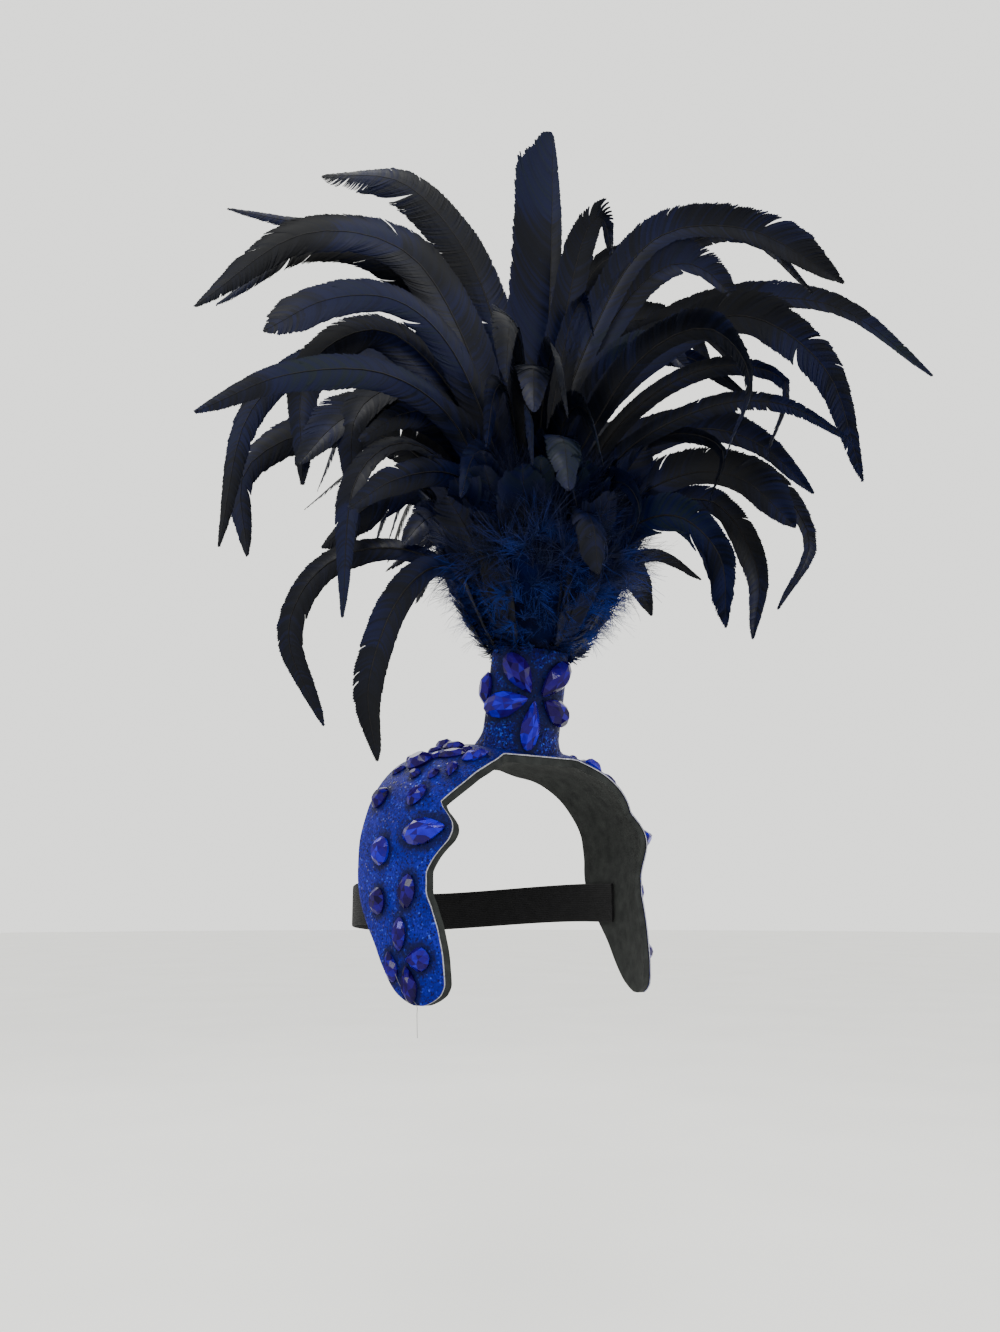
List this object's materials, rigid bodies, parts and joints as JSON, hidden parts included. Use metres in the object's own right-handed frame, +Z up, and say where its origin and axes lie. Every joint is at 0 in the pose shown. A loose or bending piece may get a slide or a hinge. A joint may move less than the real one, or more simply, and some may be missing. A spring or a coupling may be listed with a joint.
{
  "type": "showgirl feather headdress",
  "caption": "Ear-to-ear head band of glitter fabric on foam with faceted stones, a jewelled column over the crown, an elastic back strap and a spreading plume of curled dark feathers.",
  "frame": {"origin": "where the top of the head meets the inside of the band", "axes": "+Z up, the wearer faces -Y, +X is the wearer's left"},
  "size_m": [0.4577, 0.3545, 0.5281],
  "materials": {
    "glitter_fabric": "royal blue glitter fabric with flakes",
    "foam": "matt dark grey closed-cell foam",
    "elastic": "matt black woven elastic",
    "stone": "clear ultramarine acrylic, faceted and foil-backed",
    "feather": "near-black curled feather with a blue-green sheen"
  },
  "bodies": {
    "root": {"glitter_cover": "glitter_fabric", "column_cover": "glitter_fabric", "foam_shell": "foam", "elastic_strap": "elastic", "feather_plume": "feather", "stone_flower_upper_left": "stone", "stone_flower_upper_right": "stone", "stone_flower_lower_right": "stone", "stone_flower_bottom": "stone", "stone_flower_lower_left": "stone", "stone_flank_right": "stone", "stone_flank_left": "stone", "stone_right_cheek_pear": "stone", "stone_right_brow_oval": "stone", "stone_right_notch_oval": "stone", "stone_right_rear_oval": "stone", "stone_right_temple_navette": "stone", "stone_right_temple_oval": "stone", "stone_right_ear_top_navette": "stone", "stone_right_ear_front_pear": "stone", "stone_right_ear_back_pear": "stone", "stone_right_ear_low_pear": "stone", "stone_right_shoulder_oval": "stone", "stone_right_shoulder_bead": "stone", "stone_right_crown_pear": "stone", "stone_right_crown_navette": "stone", "stone_right_crown_leaf": "stone", "stone_right_crown_oval": "stone", "stone_right_crown_drop": "stone", "stone_left_cheek_pear": "stone", "stone_left_brow_oval": "stone", "stone_left_notch_oval": "stone", "stone_left_rear_oval": "stone", "stone_left_temple_navette": "stone", "stone_left_temple_oval": "stone", "stone_left_ear_top_navette": "stone", "stone_left_ear_front_pear": "stone", "stone_left_ear_back_pear": "stone", "stone_left_ear_low_pear": "stone", "stone_left_shoulder_oval": "stone", "stone_left_shoulder_bead": "stone", "stone_left_crown_pear": "stone", "stone_left_crown_navette": "stone", "stone_left_crown_leaf": "stone", "stone_left_crown_oval": "stone", "stone_left_crown_drop": "stone"}
  },
  "joints": []
}
